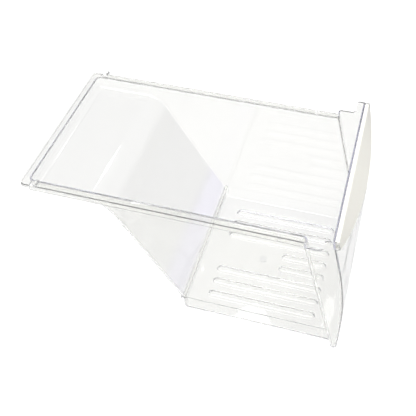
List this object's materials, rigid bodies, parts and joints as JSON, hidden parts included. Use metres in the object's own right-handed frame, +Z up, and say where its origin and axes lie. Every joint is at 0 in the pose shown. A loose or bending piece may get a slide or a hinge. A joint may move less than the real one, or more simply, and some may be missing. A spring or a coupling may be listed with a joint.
{
  "type": "fridge crisper drawer",
  "caption": "Clear moulded refrigerator drawer with a sloped back, a rear shelf, a rim flange that slides on runners and a white hooded handle along its front.",
  "frame": {"origin": "middle of the flat base that the drawer stands on", "axes": "+X across the drawer, +Y from the front panel to the back rim, +Z up"},
  "size_m": [0.305, 0.4825, 0.2405],
  "materials": {
    "clear_plastic": "clear glossy styrene, with dark edges where the walls are seen end on",
    "white_plastic": "white satin moulded plastic"
  },
  "bodies": {
    "root": {"pan": "clear_plastic", "handle_trim": "white_plastic"}
  },
  "joints": []
}
